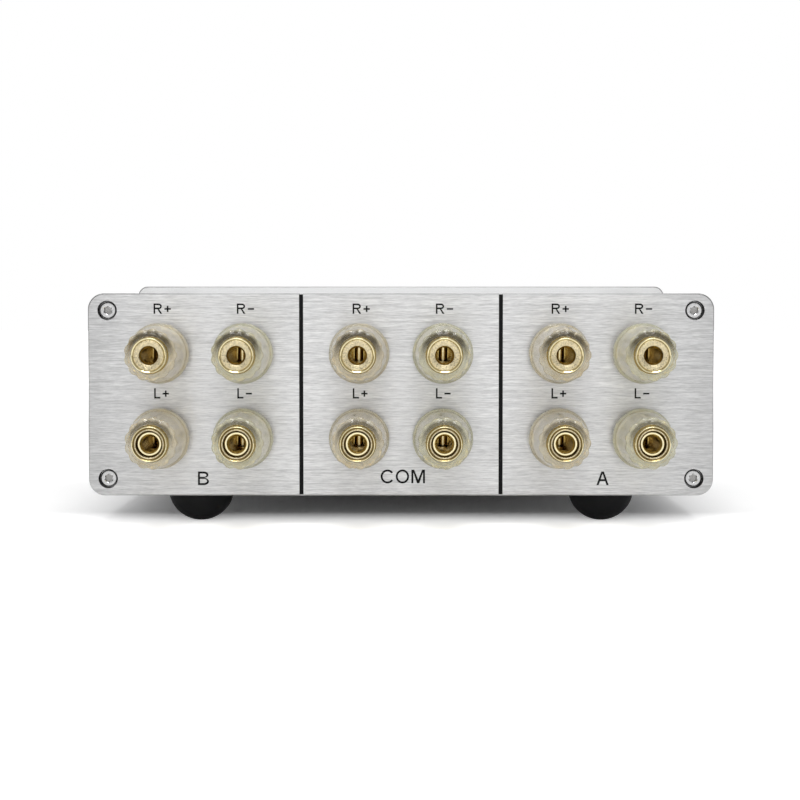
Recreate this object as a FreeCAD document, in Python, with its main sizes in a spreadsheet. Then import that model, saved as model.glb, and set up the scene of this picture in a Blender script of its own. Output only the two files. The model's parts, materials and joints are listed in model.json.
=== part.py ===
import FreeCAD, Part
import math
import os
import re
import Sketcher

# A speaker selector switch: an aluminium case on four rubber feet, with twelve binding posts on
# its rear plate and a two-way rotary switch behind its front plate.
# +X runs along the rear plate (to the right for someone who faces the posts), +Y runs from the
# posts to the dial, +Z is up. The origin lies on the table, under the middle of the whole length.

doc = FreeCAD.newDocument("speaker_selector")
vector = FreeCAD.Vector

# Driving sizes in millimetres, degrees and counts.
sizes = {
    # clearances
    "fitGap": 0.05,  # radial, between a thread or shaft and its hole
    "slipGap": 0.1,  # radial, round a part that drops into a hole
    "seatGap": 0.3,  # between a moving face and the face it closes on
    # rear plate
    "rearWide": 170,
    "rearHigh": 55,
    "rearThick": 5,
    "rearCorner": 4.4,
    "rearBevel": 0.3,
    # front plate
    "frontOver": 3.5,  # how far it stands out past the rear plate at each side
    "frontRise": 3,  # and above and below
    "frontThick": 8,
    "frontCorner": 3.2,
    "frontRound": 1.6,
    "recessDeep": 5,
    "recessMargin": 3,
    # case shells
    "caseLength": 129.6,
    "caseInset": 1,
    "caseWall": 2.4,
    "channelWide": 8,
    "channelHigh": 7.2,
    "tongueWide": 0.8,
    "tongueHigh": 1.2,
    "grooveWide": 0.9,
    "grooveDeep": 0.35,
    # plate screws
    "screwInset": 5.25,
    "screwDrop": 4.6,
    "screwRadius": 1.25,
    "screwLong": 11,
    "screwHead": 2.25,
    "screwHeadHigh": 2.5,
    "screwSeat": 1.2,
    "headGap": 0.4,
    "keyWide": 2,
    "keyDeep": 1.3,
    # feet
    "footRadius": 9.15,
    "footHigh": 9,
    "footInset": 29.2,
    "footMargin": 0.85,
    # binding posts
    "postPitch": 22.6,
    "rowPitch": 23,
    "rowDrop": 0.2,  # from the plate's middle down to the middle of the two rows
    "groupPitch": 54,
    "studRadius": 3,
    "studReach": 25.5,
    "studTail": 9,
    "boreRadius": 2.05,
    "mouthRadius": 2.6,
    "wireHole": 1.9,
    "wireRise": 2.4,
    "collarWide": 1.5,
    "collarHigh": 1.3,
    "flangeRadius": 8,
    "flangeFloor": 2,
    "spigotWall": 1,
    "sleeveWall": 0.95,
    "ringWide": 0.65,
    "ringHigh": 2.7,
    "ringRound": 0.6,
    "lipHigh": 1.2,
    "lipCover": 0.15,
    "mouthBevel": 0.5,
    "rimRadius": 8.15,
    "rimHigh": 1.5,
    "drumRadius": 7.9,
    "drumHigh": 12.4,  # with the rim
    "shoulderDrop": 0.6,
    "coneRadius": 6.1,
    "coneHigh": 20.4,
    "coneRound": 0.8,
    "fluteCount": 16,
    "fluteRadius": 1.5,
    "fluteDeep": 0.35,
    "innerRadius": 7,
    "innerHigh": 2,
    "tagRadius": 5.5,
    "tagThick": 0.8,
    "tagWide": 4,
    "tagLong": 10,
    "tagEye": 0.8,
    "nutWide": 10,
    "nutHigh": 3,
    # rotary switch
    "housingRadius": 15,
    "housingDeep": 8,
    "bushingRadius": 4.5,
    "bushingReach": 5.5,
    "washerRadius": 8,
    "washerHigh": 0.6,
    "lockWide": 13,
    "lockHigh": 2.4,
    "shaftRadius": 3,
    "shaftReach": 14,
    "shaftTail": 3,
    "flatDeep": 0.8,
    "waferRadius": 17,
    "waferThick": 1.6,
    "waferPitch": 13,
    "rotorRadius": 8,
    "rotorThick": 2.6,
    "tieInset": 2.5,
    "tieRadius": 1.5,
    "tieNut": 5.5,
    "tieNutHigh": 2.4,
    "spacerWall": 1,
    "lugWide": 2.2,
    "lugLong": 6.5,
    "lugThick": 0.5,
    "lugOut": 4.5,
    "lugCount": 6,
    "lugStart": 15,
    # wires between the solder tags and the lugs
    "wireRadius": 0.9,
    "wireBend": 12,
    "wireStart": 14,
    "wireEnd": 18,
    # dial
    "knobGap": 0.8,
    "knobRadius": 16,
    "knobLong": 18,
    "knobRound": 1.5,
    "knobFlutes": 24,
    "knobFlute": 1.6,
    "knobFluteDeep": 0.5,
    "knobFoot": 3,
    "hollowRadius": 10,
    "hollowDeep": 6.2,
    "pointerWide": 1.2,
    "pointerDeep": 0.6,
    "pointerLong": 9,
    "restAngle": 30,
    "grubRadius": 1.5,
    "grubRise": 10.5,
    "grubLong": 5,
    "grubKey": 1.5,
}


def fill_sheet():
    """Write every size into the sheet, one row each, with its name as the alias."""
    sheet = doc.addObject("Spreadsheet::Sheet", "Sizes")
    for row, (name, amount) in enumerate(sizes.items(), start=1):
        sheet.set(f"A{row}", name)
        sheet.set(f"B{row}", str(amount))
        sheet.setAlias(f"B{row}", name)
    doc.recompute()
    return sheet


def formula(text):
    """The expression that reads each size named in the text from the sheet."""
    return re.sub(r"[A-Za-z]+", lambda word: f"Sizes.{word[0]}" if word[0] in sizes else word[0], text)


def amount(text):
    """The number that a formula gives now."""
    return float(sheet.evalExpression(formula(text)))


def bind(thing, **formulas):
    """Tie properties of an object to formulas."""
    for name, text in formulas.items():
        thing.setExpression(name.replace("_", "."), formula(text))


# Places worked out from the sizes. Y of the rear plate's outer face, the front plate's two faces,
# the height of both plates' middle, and radii that are built up from their neighbours.
capLow = "(flangeFloor + collarHigh + seatGap)"
postReach = f"({capLow} + coneHigh + seatGap + ringHigh)"
wholeLength = f"({postReach} + rearThick + caseLength + frontThick + knobGap + knobLong)"
rearFace = f"({postReach} - {wholeLength} / 2)"
caseRear = f"({rearFace} + rearThick)"
frontBack = f"({caseRear} + caseLength)"
frontFace = f"({frontBack} + frontThick)"
frontWide = "(rearWide + 2 * frontOver)"
frontHigh = "(rearHigh + 2 * frontRise)"
middleUp = "(footHigh + rearHigh / 2 - caseInset)"
screwAcross = "(rearWide - 2 * screwInset)"
screwUpright = "(rearHigh - 2 * screwDrop)"
caseHalfWide = "(rearWide / 2 - caseInset)"
caseHalfHigh = "(rearHigh / 2 - caseInset)"
threadBore = "(studRadius + fitGap)"
sleeveRadius = f"({threadBore} + sleeveWall)"
ringRadius = f"({sleeveRadius} + ringWide)"
spigotRadius = f"({threadBore} + slipGap + spigotWall)"
headHole = "(screwHead + headGap)"
recessFloor = "(recessDeep - frontThick)"
housingBack = f"({recessFloor} - housingDeep)"
tieAcross = "(2 * (housingRadius - tieInset))"

# Turns a piece drawn with its axis along local Z so that the axis points out of the rear plate
# (local Y stays up), or out of the front plate (local X then runs towards -X).
outRear = FreeCAD.Rotation(vector(1, 0, 0), 90)
outFront = FreeCAD.Rotation(vector(0, 1, 1), 180)


def place(thing, turn, across="0", along="0", up="0"):
    """Set a piece's direction, and tie its position to formulas."""
    thing.Placement = FreeCAD.Placement(vector(), turn)
    bind(thing, Placement_Base_x=across, Placement_Base_y=along, Placement_Base_z=up)
    return thing


def plane_of(body, role):
    """One of the body's own origin planes."""
    return next(feature for feature in body.Origin.OriginFeatures if feature.Role == role)


def start_sketch(body, name, role, level="0"):
    """An empty sketch on an origin plane of the body, raised along its normal."""
    sketch = body.newObject("Sketcher::SketchObject", name)
    sketch.AttachmentSupport = (plane_of(body, role), "")
    sketch.MapMode = "FlatFace"
    bind(sketch, AttachmentOffset_Base_z=level)
    return sketch


def pin(sketch, kind, place_on, text):
    """Dimension one thing in the sketch and tie the dimension to a formula."""
    index = sketch.addConstraint(Sketcher.Constraint(kind, *place_on, amount(text)))
    sketch.setExpression(f"Constraints[{index}]", formula(text))


def polygon(sketch, corners):
    """A closed outline through corners, each given as two formulas."""
    points = [vector(amount(across), amount(up)) for across, up in corners]
    count = len(points)
    for index in range(count):
        sketch.addGeometry(Part.LineSegment(points[index], points[(index + 1) % count]), False)
    for index in range(count):
        sketch.addConstraint(Sketcher.Constraint("Coincident", index, 2, (index + 1) % count, 1))
    for index, (across, up) in enumerate(corners):
        pin(sketch, "DistanceX", (-1, 1, index, 1), across)
        pin(sketch, "DistanceY", (-1, 1, index, 1), up)
    return sketch


def circles(sketch, spots, radius):
    """Equal circles at spots given as pairs of formulas."""
    for across, up in spots:
        centre = vector(amount(across), amount(up))
        index = sketch.addGeometry(Part.Circle(centre, vector(0, 0, 1), amount(radius)), False)
        pin(sketch, "Radius", (index,), radius)
        pin(sketch, "DistanceX", (-1, 1, index, 3), across)
        pin(sketch, "DistanceY", (-1, 1, index, 3), up)
    return sketch


def rectangle(wide, high, across="0", up="0"):
    """Corners of a rectangle about a middle point."""
    sides = ((-1, -1), (1, -1), (1, 1), (-1, 1))
    return [(f"{across} + ({sx}) * ({wide}) / 2", f"{up} + ({sy}) * ({high}) / 2") for sx, sy in sides]


def new_body(label):
    body = doc.addObject("PartDesign::Body", label)
    body.Label = label
    return body


def pad(body, sketch, length, down=False):
    """Raise a sketch along its normal, or below it."""
    feature = body.newObject("PartDesign::Pad", f"{body.Name}_pad")
    feature.Profile = sketch
    feature.Reversed = down
    bind(feature, Length=length)
    sketch.Visibility = False
    doc.recompute()
    return feature


def cut(body, sketch, depth=None, both_ways=False, up=False):
    """Cut a sketch below its plane to a depth, above it, or right through both ways."""
    feature = body.newObject("PartDesign::Pocket", f"{body.Name}_cut")
    feature.Profile = sketch
    feature.Reversed = up
    if both_ways:
        feature.Midplane = True
    if depth:
        bind(feature, Length=depth)
    else:
        feature.Type = "ThroughAll"
    sketch.Visibility = False
    doc.recompute()
    return feature


def turned(label, profile):
    """A body of revolution about local Z: the profile's corners are radius and height."""
    body = new_body(label)
    sketch = polygon(start_sketch(body, f"{label}_profile", "XZ_Plane"), profile)
    feature = body.newObject("PartDesign::Revolution", f"{label}_turn")
    feature.Profile = sketch
    feature.ReferenceAxis = (sketch, ["V_Axis"])
    feature.Angle = 360
    sketch.Visibility = False
    doc.recompute()
    return body


def dress(body, kind, chosen, radius):
    """Fillet or chamfer the edges of the body's tip that a test picks."""
    base = body.Tip
    names = [f"Edge{n}" for n, edge in enumerate(base.Shape.Edges, start=1) if chosen(edge)]
    feature = body.newObject(f"PartDesign::{kind}", f"{body.Name}_{kind.lower()}")
    feature.Base = (base, names)
    bind(feature, **{"Radius" if kind == "Fillet" else "Size": radius})
    doc.recompute()
    return feature


def repeat_round(body, feature, count):
    """Repeat a feature evenly round local Z."""
    pattern = body.newObject("PartDesign::PolarPattern", f"{body.Name}_pattern")
    pattern.Originals = [feature]
    pattern.Axis = (plane_of(body, "Z_Axis"), "")
    pattern.Angle = 360
    bind(pattern, Occurrences=count)
    body.Tip = pattern
    doc.recompute()
    return pattern


def upright_line(edge):
    """True for a straight edge along local Z."""
    ends = edge.Vertexes
    if edge.Curve.TypeId != "Part::GeomLine" or len(ends) != 2:
        return False
    run = ends[1].Point - ends[0].Point
    return abs(run.x) < 1e-6 and abs(run.y) < 1e-6


def rim(radius, level):
    """A test for circular edges of one radius at one height on local Z."""
    def is_rim(edge):
        curve = edge.Curve
        return (
            curve.TypeId == "Part::GeomCircle"
            and abs(curve.Radius - amount(radius)) < 1e-4
            and abs(curve.Center.z - amount(level)) < 1e-4
        )
    return is_rim


def cylinder(name, radius, height, level="0"):
    solid = doc.addObject("Part::Cylinder", name)
    bind(solid, Radius=radius, Height=height, Placement_Base_z=level)
    return solid


def hexagon(name, wide, height, level="0"):
    """A hexagonal prism, measured across its flats."""
    solid = doc.addObject("Part::Prism", name)
    solid.Polygon = 6
    bind(solid, Circumradius=f"({wide}) / sqrt(3)", Height=height, Placement_Base_z=level)
    return solid


def block(name, wide, deep, high, across="0", along="0", level="0"):
    """A box centred on two axes, that stands on its level."""
    solid = doc.addObject("Part::Box", name)
    bind(
        solid,
        Length=wide,
        Width=deep,
        Height=high,
        Placement_Base_x=f"{across} - ({wide}) / 2",
        Placement_Base_y=f"{along} - ({deep}) / 2",
        Placement_Base_z=level,
    )
    return solid


def fused(name, solids):
    joined = doc.addObject("Part::MultiFuse", name)
    joined.Shapes = solids
    return joined


def less(name, base, tool):
    remainder = doc.addObject("Part::Cut", name)
    remainder.Base = base
    remainder.Tool = tool
    return remainder


def gathered(label, solids):
    """One sub-part that holds several equal pieces."""
    group = doc.addObject("Part::Compound", label)
    group.Links = solids
    group.Label = label
    return group


# Where the posts and the plate screws stand, seen from outside the rear plate.
groups = {"b": -1, "com": 0, "a": 1}
poles = {"r_plus": (-1, 1), "r_minus": (1, 1), "l_plus": (-1, -1), "l_minus": (1, -1)}
corners = [(-1, 1), (1, 1), (1, -1), (-1, -1)]


def post_spot(group, pole):
    """A post's place across the plate and above its middle."""
    side, row = poles[pole]
    return f"({groups[group]}) * groupPitch + ({side}) * postPitch / 2", f"({row}) * rowPitch / 2 - rowDrop"


posts = {f"{group}_{pole}": post_spot(group, pole) for group in groups for pole in poles}
screw_spots = [(f"({sx}) * {screwAcross} / 2", f"({sy}) * {screwUpright} / 2") for sx, sy in corners]


def on_rear(thing, spot=("0", "0")):
    return place(thing, outRear, spot[0], rearFace, f"{middleUp} + {spot[1]}")


def on_front(thing, spot=("0", "0")):
    return place(thing, outFront, f"0 - ({spot[0]})", frontFace, f"{middleUp} + {spot[1]}")


# ---- plates ----

def make_rear_plate():
    """A rounded plate with a hole for each post's spigot and counterbored corner screws."""
    body = new_body("rear_plate")
    outline = polygon(start_sketch(body, "rear_outline", "XY_Plane"), rectangle("rearWide", "rearHigh"))
    pad(body, outline, "rearThick", down=True)
    dress(body, "Fillet", upright_line, "rearCorner")
    dress(body, "Chamfer", lambda edge: abs(edge.CenterOfMass.z) < 1e-4, "rearBevel")
    holes = circles(start_sketch(body, "post_holes", "XY_Plane"), posts.values(), f"{spigotRadius} + slipGap")
    cut(body, holes)
    screws = start_sketch(body, "screw_holes", "XY_Plane")
    cut(body, circles(screws, screw_spots, "screwRadius + slipGap"))
    heads = start_sketch(body, "screw_heads", "XY_Plane")
    cut(body, circles(heads, screw_spots, headHole), "rearThick - screwSeat")
    for side in (-1, 1):
        divider = rectangle("grooveWide", "rearHigh", f"({side}) * groupPitch / 2")
        cut(body, polygon(start_sketch(body, f"divider_{side + 1}", "XY_Plane"), divider), "grooveDeep")
    return on_rear(body)


def make_front_plate():
    """A larger rounded plate, milled out behind for the switch's housing."""
    body = new_body("front_plate")
    outline = polygon(start_sketch(body, "front_outline", "XY_Plane"), rectangle(frontWide, frontHigh))
    pad(body, outline, "frontThick", down=True)
    dress(body, "Fillet", upright_line, "frontCorner")
    dress(body, "Fillet", lambda edge: abs(edge.CenterOfMass.z) < 1e-4, "frontRound")
    bushing = circles(start_sketch(body, "bushing_hole", "XY_Plane"), [("0", "0")], "bushingRadius + slipGap")
    cut(body, bushing)
    recess = start_sketch(body, "housing_recess", "XY_Plane", "0 - frontThick")
    cut(body, circles(recess, [("0", "0")], "housingRadius + recessMargin"), "recessDeep", up=True)
    screws = start_sketch(body, "front_screw_holes", "XY_Plane")
    cut(body, circles(screws, screw_spots, "screwRadius + slipGap"))
    heads = start_sketch(body, "front_screw_heads", "XY_Plane")
    cut(body, circles(heads, screw_spots, headHole), "screwHeadHigh + screwSeat")
    return on_front(body)


def socket_screw(name, seat):
    """A socket-head cap screw whose head stands on a level, with its shank below."""
    head = cylinder(f"{name}_head", "screwHead", "screwHeadHigh", seat)
    shank = cylinder(f"{name}_shank", "screwRadius", "screwLong", f"{seat} - screwLong")
    key = hexagon(f"{name}_key", "keyWide", "keyDeep + slipGap", f"{seat} + screwHeadHigh - keyDeep")
    return less(name, fused(f"{name}_blank", [head, shank]), key)


def make_screws():
    """Four corner screws in each plate."""
    rear = [
        on_rear(socket_screw(f"rear_screw_{n}", "screwSeat - rearThick"), spot)
        for n, spot in enumerate(screw_spots)
    ]
    front = [
        on_front(socket_screw(f"front_screw_{n}", "0 - screwHeadHigh - screwSeat"), spot)
        for n, spot in enumerate(screw_spots)
    ]
    return [gathered("rear_screws", rear), gathered("front_screws", front)]


# ---- case ----

def shell_outline(seam):
    """Half of a shell's section, from its outer corner round to its inner floor."""
    inner = f"({caseHalfWide} - caseWall)"
    return [
        (caseHalfWide, f"0 - {caseHalfHigh}"),
        *seam,
        (inner, f"channelHigh - {caseHalfHigh}"),
        (f"{caseHalfWide} - channelWide", f"channelHigh - {caseHalfHigh}"),
        (f"{caseHalfWide} - channelWide", f"caseWall - {caseHalfHigh}"),
    ]


def make_shell(label, seam, upside):
    """An extruded shell: mirrored section, screw channels in its corners, rounded outside."""
    half = shell_outline(seam)
    mirrored = [(f"0 - ({across})", up) for across, up in reversed(half)]
    section = [(across, f"{upside} * ({up})") for across, up in half + mirrored]
    body = new_body(label)
    outline = polygon(start_sketch(body, f"{label}_section", "XY_Plane", "0 - rearThick"), section)
    pad(body, outline, "caseLength", down=True)
    outer = amount(caseHalfHigh)
    dress(
        body,
        "Fillet",
        lambda edge: upright_line(edge) and abs(abs(edge.Vertexes[0].Y) - outer) < 1e-4
        and abs(abs(edge.Vertexes[0].X) - amount(caseHalfWide)) < 1e-4,
        "rearCorner - caseInset",
    )
    threads = [spot for spot in screw_spots if amount(spot[1]) * upside < 0]
    channels = start_sketch(body, f"{label}_channels", "XY_Plane", "0 - rearThick")
    cut(body, circles(channels, threads, "screwRadius + fitGap"))
    return on_rear(body)


def make_case():
    """Two shells: the lower one carries the tongue, the upper one the groove."""
    wide = caseHalfWide
    tongueOut = f"({wide} - (caseWall - tongueWide) / 2)"
    tongueIn = f"({tongueOut} - tongueWide)"
    tongue = [
        (wide, "0"),
        (tongueOut, "0"),
        (tongueOut, "tongueHigh"),
        (tongueIn, "tongueHigh"),
        (tongueIn, "0"),
        (f"{wide} - caseWall", "0"),
    ]
    groove = [
        (wide, "0"),
        (f"{tongueOut} + slipGap", "0"),
        (f"{tongueOut} + slipGap", "0 - tongueHigh - slipGap"),
        (f"{tongueIn} - slipGap", "0 - tongueHigh - slipGap"),
        (f"{tongueIn} - slipGap", "0"),
        (f"{wide} - caseWall", "0"),
    ]
    return [make_shell("case_bottom", tongue, 1), make_shell("case_top", groove, -1)]


def make_foot(label, side, along):
    """A half ball with its flat side up and a small flat to stand on."""
    ball = doc.addObject("Part::Sphere", f"{label}_ball")
    ball.Angle1 = -90
    ball.Angle2 = 0
    bind(ball, Radius="footRadius")
    level = "0 - footHigh - footRadius"
    under = block(f"{label}_under", "footRadius", "footRadius", "footRadius", level=level)
    foot = less(label, ball, under)
    foot.Label = label
    return place(foot, FreeCAD.Rotation(), f"({side}) * (rearWide / 2 - footInset)", along, "footHigh")


def make_feet():
    inward = "(footRadius + footMargin)"
    rows = {"rear": f"{caseRear} + {inward}", "front": f"{frontBack} - {inward}"}
    sides = {"left": -1, "right": 1}
    return [
        make_foot(f"foot_{row}_{side}", sides[side], rows[row]) for row in rows for side in sides
    ]


# ---- binding posts ----

def make_stud(post, spot):
    """A stud with a collar that grips the wire, cross-drilled for the wire and bored for a plug.

    The bore runs from a countersunk mouth down into the upright wire hole."""
    low = "flangeFloor"
    high = "(flangeFloor + collarHigh)"
    collar = "(studRadius + collarWide)"
    wire_level = f"({high} + wireRise)"
    label = f"stud_{post}"
    body = turned(
        label,
        [
            ("0", "0 - rearThick - studTail"),
            ("studRadius", "0 - rearThick - studTail"),
            ("studRadius", low),
            (collar, low),
            (collar, high),
            ("studRadius", high),
            ("studRadius", "studReach"),
            ("mouthRadius", "studReach"),
            ("boreRadius", "studReach - mouthRadius + boreRadius"),
            ("boreRadius", wire_level),
            ("0", wire_level),
        ],
    )
    wire = start_sketch(body, f"{label}_wire", "XZ_Plane")
    cut(body, circles(wire, [("0", wire_level)], "wireHole"), both_ways=True)
    return on_rear(body, spot)


def make_insert(post, spot):
    """The threaded metal sleeve of a cap, with the ring that shows at its end."""
    top = postReach
    ring = f"({top} - ringHigh)"
    lip = "(studRadius - lipCover)"
    body = turned(
        f"insert_{post}",
        [
            (threadBore, capLow),
            (sleeveRadius, capLow),
            (sleeveRadius, ring),
            (ringRadius, ring),
            (ringRadius, top),
            (f"{lip} + mouthBevel", top),
            (lip, f"{top} - mouthBevel"),
            (lip, f"{top} - lipHigh"),
            (threadBore, f"{top} - lipHigh"),
        ],
    )
    dress(body, "Fillet", rim(ringRadius, top), "ringRound")
    return on_rear(body, spot)


def make_cap(post, spot):
    """A clear cap: a round rim, a fluted drum for the fingers, and a cone up to the ring."""
    bore = f"({sleeveRadius} + fitGap)"
    rim_top = f"({capLow} + rimHigh)"
    drum = f"({capLow} + drumHigh)"
    tip = f"({capLow} + coneHigh)"
    neck = "(drumRadius - shoulderDrop)"
    label = f"cap_{post}"
    body = turned(
        label,
        [
            (bore, capLow),
            ("rimRadius", capLow),
            ("rimRadius", rim_top),
            ("drumRadius", rim_top),
            ("drumRadius", drum),
            (neck, f"{drum} + shoulderDrop"),
            ("coneRadius", tip),
            (bore, tip),
        ],
    )
    dress(body, "Fillet", rim("coneRadius", tip), "coneRound")
    flute = start_sketch(body, f"{label}_flute", "XY_Plane", rim_top)
    hollow = cut(
        body,
        circles(flute, [("drumRadius - fluteDeep + fluteRadius", "0")], "fluteRadius"),
        "drumHigh + shoulderDrop",
        up=True,
    )
    repeat_round(body, hollow, "fluteCount")
    return on_rear(body, spot)


def make_base(post, spot):
    """The clear insulator under a cap: a flange on the plate and a spigot through it."""
    hole = f"({threadBore} + slipGap)"
    well = "(studRadius + collarWide + slipGap)"
    top = "(flangeFloor + collarHigh)"
    body = turned(
        f"base_{post}",
        [
            (hole, "slipGap - rearThick"),
            (spigotRadius, "slipGap - rearThick"),
            (spigotRadius, "0"),
            ("flangeRadius", "0"),
            ("flangeRadius", top),
            (well, top),
            (well, "flangeFloor"),
            (hole, "flangeFloor"),
        ],
    )
    return on_rear(body, spot)


def make_inner_washer(post, spot):
    """The insulator on the plate's inner side."""
    hole = f"({threadBore} + slipGap)"
    body = turned(
        f"inner_{post}",
        [
            (hole, "0 - rearThick - innerHigh"),
            ("innerRadius", "0 - rearThick - innerHigh"),
            ("innerRadius", "0 - rearThick"),
            (hole, "0 - rearThick"),
        ],
    )
    return on_rear(body, spot)


def make_tag(post, spot):
    """A solder tag: a ring on the stud with a tongue that has an eye for the wire."""
    level = "0 - rearThick - innerHigh - tagThick"
    name = f"tag_{post}"
    ring = cylinder(f"{name}_ring", "tagRadius", "tagThick", level)
    tongue = block(f"{name}_tongue", "tagWide", "tagLong", "tagThick", along="tagLong / 2", level=level)
    hole = cylinder(f"{name}_hole", threadBore, "tagThick", level)
    eye = cylinder(f"{name}_eye", "tagEye", "tagThick", level)
    bind(eye, Placement_Base_y="tagLong - tagWide / 2")
    blank = fused(f"{name}_blank", [ring, tongue])
    return on_rear(less(name, blank, fused(f"{name}_holes", [hole, eye])), spot)


def make_nut(post, spot):
    """The hexagon nut that pulls the stud's collar down on the base."""
    level = "0 - rearThick - innerHigh - tagThick - nutHigh"
    name = f"nut_{post}"
    blank = hexagon(f"{name}_blank", "nutWide", "nutHigh", level)
    return on_rear(less(name, blank, cylinder(f"{name}_hole", threadBore, "nutHigh", level)), spot)


def make_posts():
    """Every moving piece and stud by itself, the fixed insulators and nuts gathered by kind."""
    moving = [make(post, spot) for post, spot in posts.items() for make in (make_stud, make_insert, make_cap)]
    kinds = {
        "base_insulators": make_base,
        "inner_insulators": make_inner_washer,
        "solder_tags": make_tag,
        "post_nuts": make_nut,
    }
    fixed = [
        gathered(label, [make(post, spot) for post, spot in posts.items()]) for label, make in kinds.items()
    ]
    return moving + fixed


# ---- rotary switch ----

def wafer_level(number):
    """Height of a wafer's front face, counted back from the housing."""
    return f"({housingBack} - ({number}) * waferPitch)"


def make_housing():
    """The detent housing with its bushing, bored for the shaft and for the two tie screws."""
    bore = "(shaftRadius + fitGap)"
    body = turned(
        "switch_housing",
        [
            (bore, housingBack),
            ("housingRadius", housingBack),
            ("housingRadius", recessFloor),
            ("bushingRadius", recessFloor),
            ("bushingRadius", "bushingReach"),
            (bore, "bushingReach"),
        ],
    )
    ties = start_sketch(body, "housing_ties", "XY_Plane", recessFloor)
    cut(body, circles(ties, tie_spots, "tieRadius + fitGap"), "housingDeep")
    return on_front(body)


tie_spots = [(f"{tieAcross} / 2", "0"), (f"0 - {tieAcross} / 2", "0")]


def make_lock():
    """Washer and nut that hold the bushing on the plate."""
    hole = "bushingRadius + fitGap"
    washer = cylinder("lock_washer_blank", "washerRadius", "washerHigh")
    washer = less("lock_washer", washer, cylinder("lock_washer_hole", hole, "washerHigh"))
    nut = hexagon("lock_nut_blank", "lockWide", "lockHigh", "washerHigh")
    nut = less("lock_nut", nut, cylinder("lock_nut_hole", hole, "lockHigh", "washerHigh"))
    return gathered("bushing_nut", [on_front(washer), on_front(nut)])


def make_wafer(number):
    """An insulating disc with a hole for its rotor and one for each tie screw."""
    level = f"({wafer_level(number)} - waferThick)"
    name = f"wafer_{number}"
    disc = cylinder(f"{name}_disc", "waferRadius", "waferThick", level)
    holes = [cylinder(f"{name}_eye", "rotorRadius + seatGap", "waferThick", level)]
    for side, (across, _) in enumerate(tie_spots):
        hole = cylinder(f"{name}_tie_{side}", "tieRadius + slipGap", "waferThick", level)
        bind(hole, Placement_Base_x=across)
        holes.append(hole)
    return on_front(less(name, disc, fused(f"{name}_holes", holes)))


def lug_places():
    """Every lug's direction round the switch and the level of its back face.

    One wafer's lugs stand midway between the other's."""
    places = []
    for number in (1, 2):
        level = f"({wafer_level(number)} - waferThick - lugThick)"
        for index in range(int(amount("lugCount"))):
            degrees = amount(f"lugStart + 180 / lugCount * ({number}) + 360 / lugCount * ({index})")
            places.append((outFront * FreeCAD.Rotation(vector(0, 0, 1), degrees), level))
    return places


def make_lugs():
    """Silvered lugs on the back of each wafer, clear of the tie screws."""
    lugs = []
    for turn, level in lug_places():
        name = f"lug_{len(lugs)}"
        lug = block(name, "lugLong", "lugWide", "lugThick", "waferRadius + lugOut - lugLong / 2", level=level)
        lugs.append(place(gathered(f"{name}_turned", [lug]), turn, "0", frontFace, middleUp))
    return gathered("switch_lugs", lugs)


def lug_end(turn, level):
    """The point on a lug's back face where its wire ends."""
    outwards = turn.multVec(vector(amount("waferRadius + lugOut - lugWide / 2"), 0, 0))
    return outwards + vector(0, amount(f"{frontFace} + {level}"), amount(middleUp))


def tag_end(across, above):
    """The point on a solder tag's inner face where its wire starts."""
    level = amount(f"{caseRear} + innerHigh + tagThick")
    return vector(amount(across), level, amount(f"{middleUp} + {above} + tagLong - tagWide / 2"))


def bend(before, corner, after):
    """Three points of the tangent arc that rounds a corner of a wire's route."""
    back = (before - corner).normalize()
    ahead = (after - corner).normalize()
    half_turn = (vector() - back).getAngle(ahead) / 2
    trim = amount("wireBend") * math.tan(half_turn)
    dip = amount("wireBend") * (1 / math.cos(half_turn) - 1)
    return corner + back * trim, corner + (back + ahead).normalize() * dip, corner + ahead * trim


def make_wire(start, end):
    """A wire that leaves its tag and meets its lug square on, with a slanted run between."""
    leave = start + vector(0, amount("wireStart"), 0)
    arrive = end - vector(0, amount("wireEnd"), 0)
    first = bend(start, leave, arrive)
    second = bend(leave, arrive, end)
    runs = [
        Part.LineSegment(start, first[0]),
        Part.Arc(*first),
        Part.LineSegment(first[-1], second[0]),
        Part.Arc(*second),
        Part.LineSegment(second[-1], end),
    ]
    route = Part.Wire([run.toShape() for run in runs])
    section = Part.Wire(Part.makeCircle(amount("wireRadius"), start, vector(0, 1, 0)))
    wire = route.makePipeShell([section], True, False)
    full = math.pi * amount("wireRadius") ** 2 * route.Length
    if abs(wire.Volume - full) > 0.01 * full:
        raise RuntimeError("a wire's sweep has the wrong volume")
    return wire


def make_wires():
    """One wire per post: in the upper and the lower half, tags and lugs pair off from left to right."""
    middle = amount(middleUp)
    starts = [(amount(above) > 0, tag_end(across, above)) for across, above in posts.values()]
    ends = [lug_end(turn, level) for turn, level in lug_places()]
    wires = []
    for upper in (True, False):
        tags = sorted((point for high, point in starts if high == upper), key=lambda point: point.x)
        lugs = sorted((point for point in ends if (point.z > middle) == upper), key=lambda point: point.x)
        wires += [make_wire(start, end) for start, end in zip(tags, lugs)]
    bundle = doc.addObject("Part::Feature", "wires")
    bundle.Shape = Part.makeCompound(wires)
    bundle.Label = "wires"
    return bundle


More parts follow.
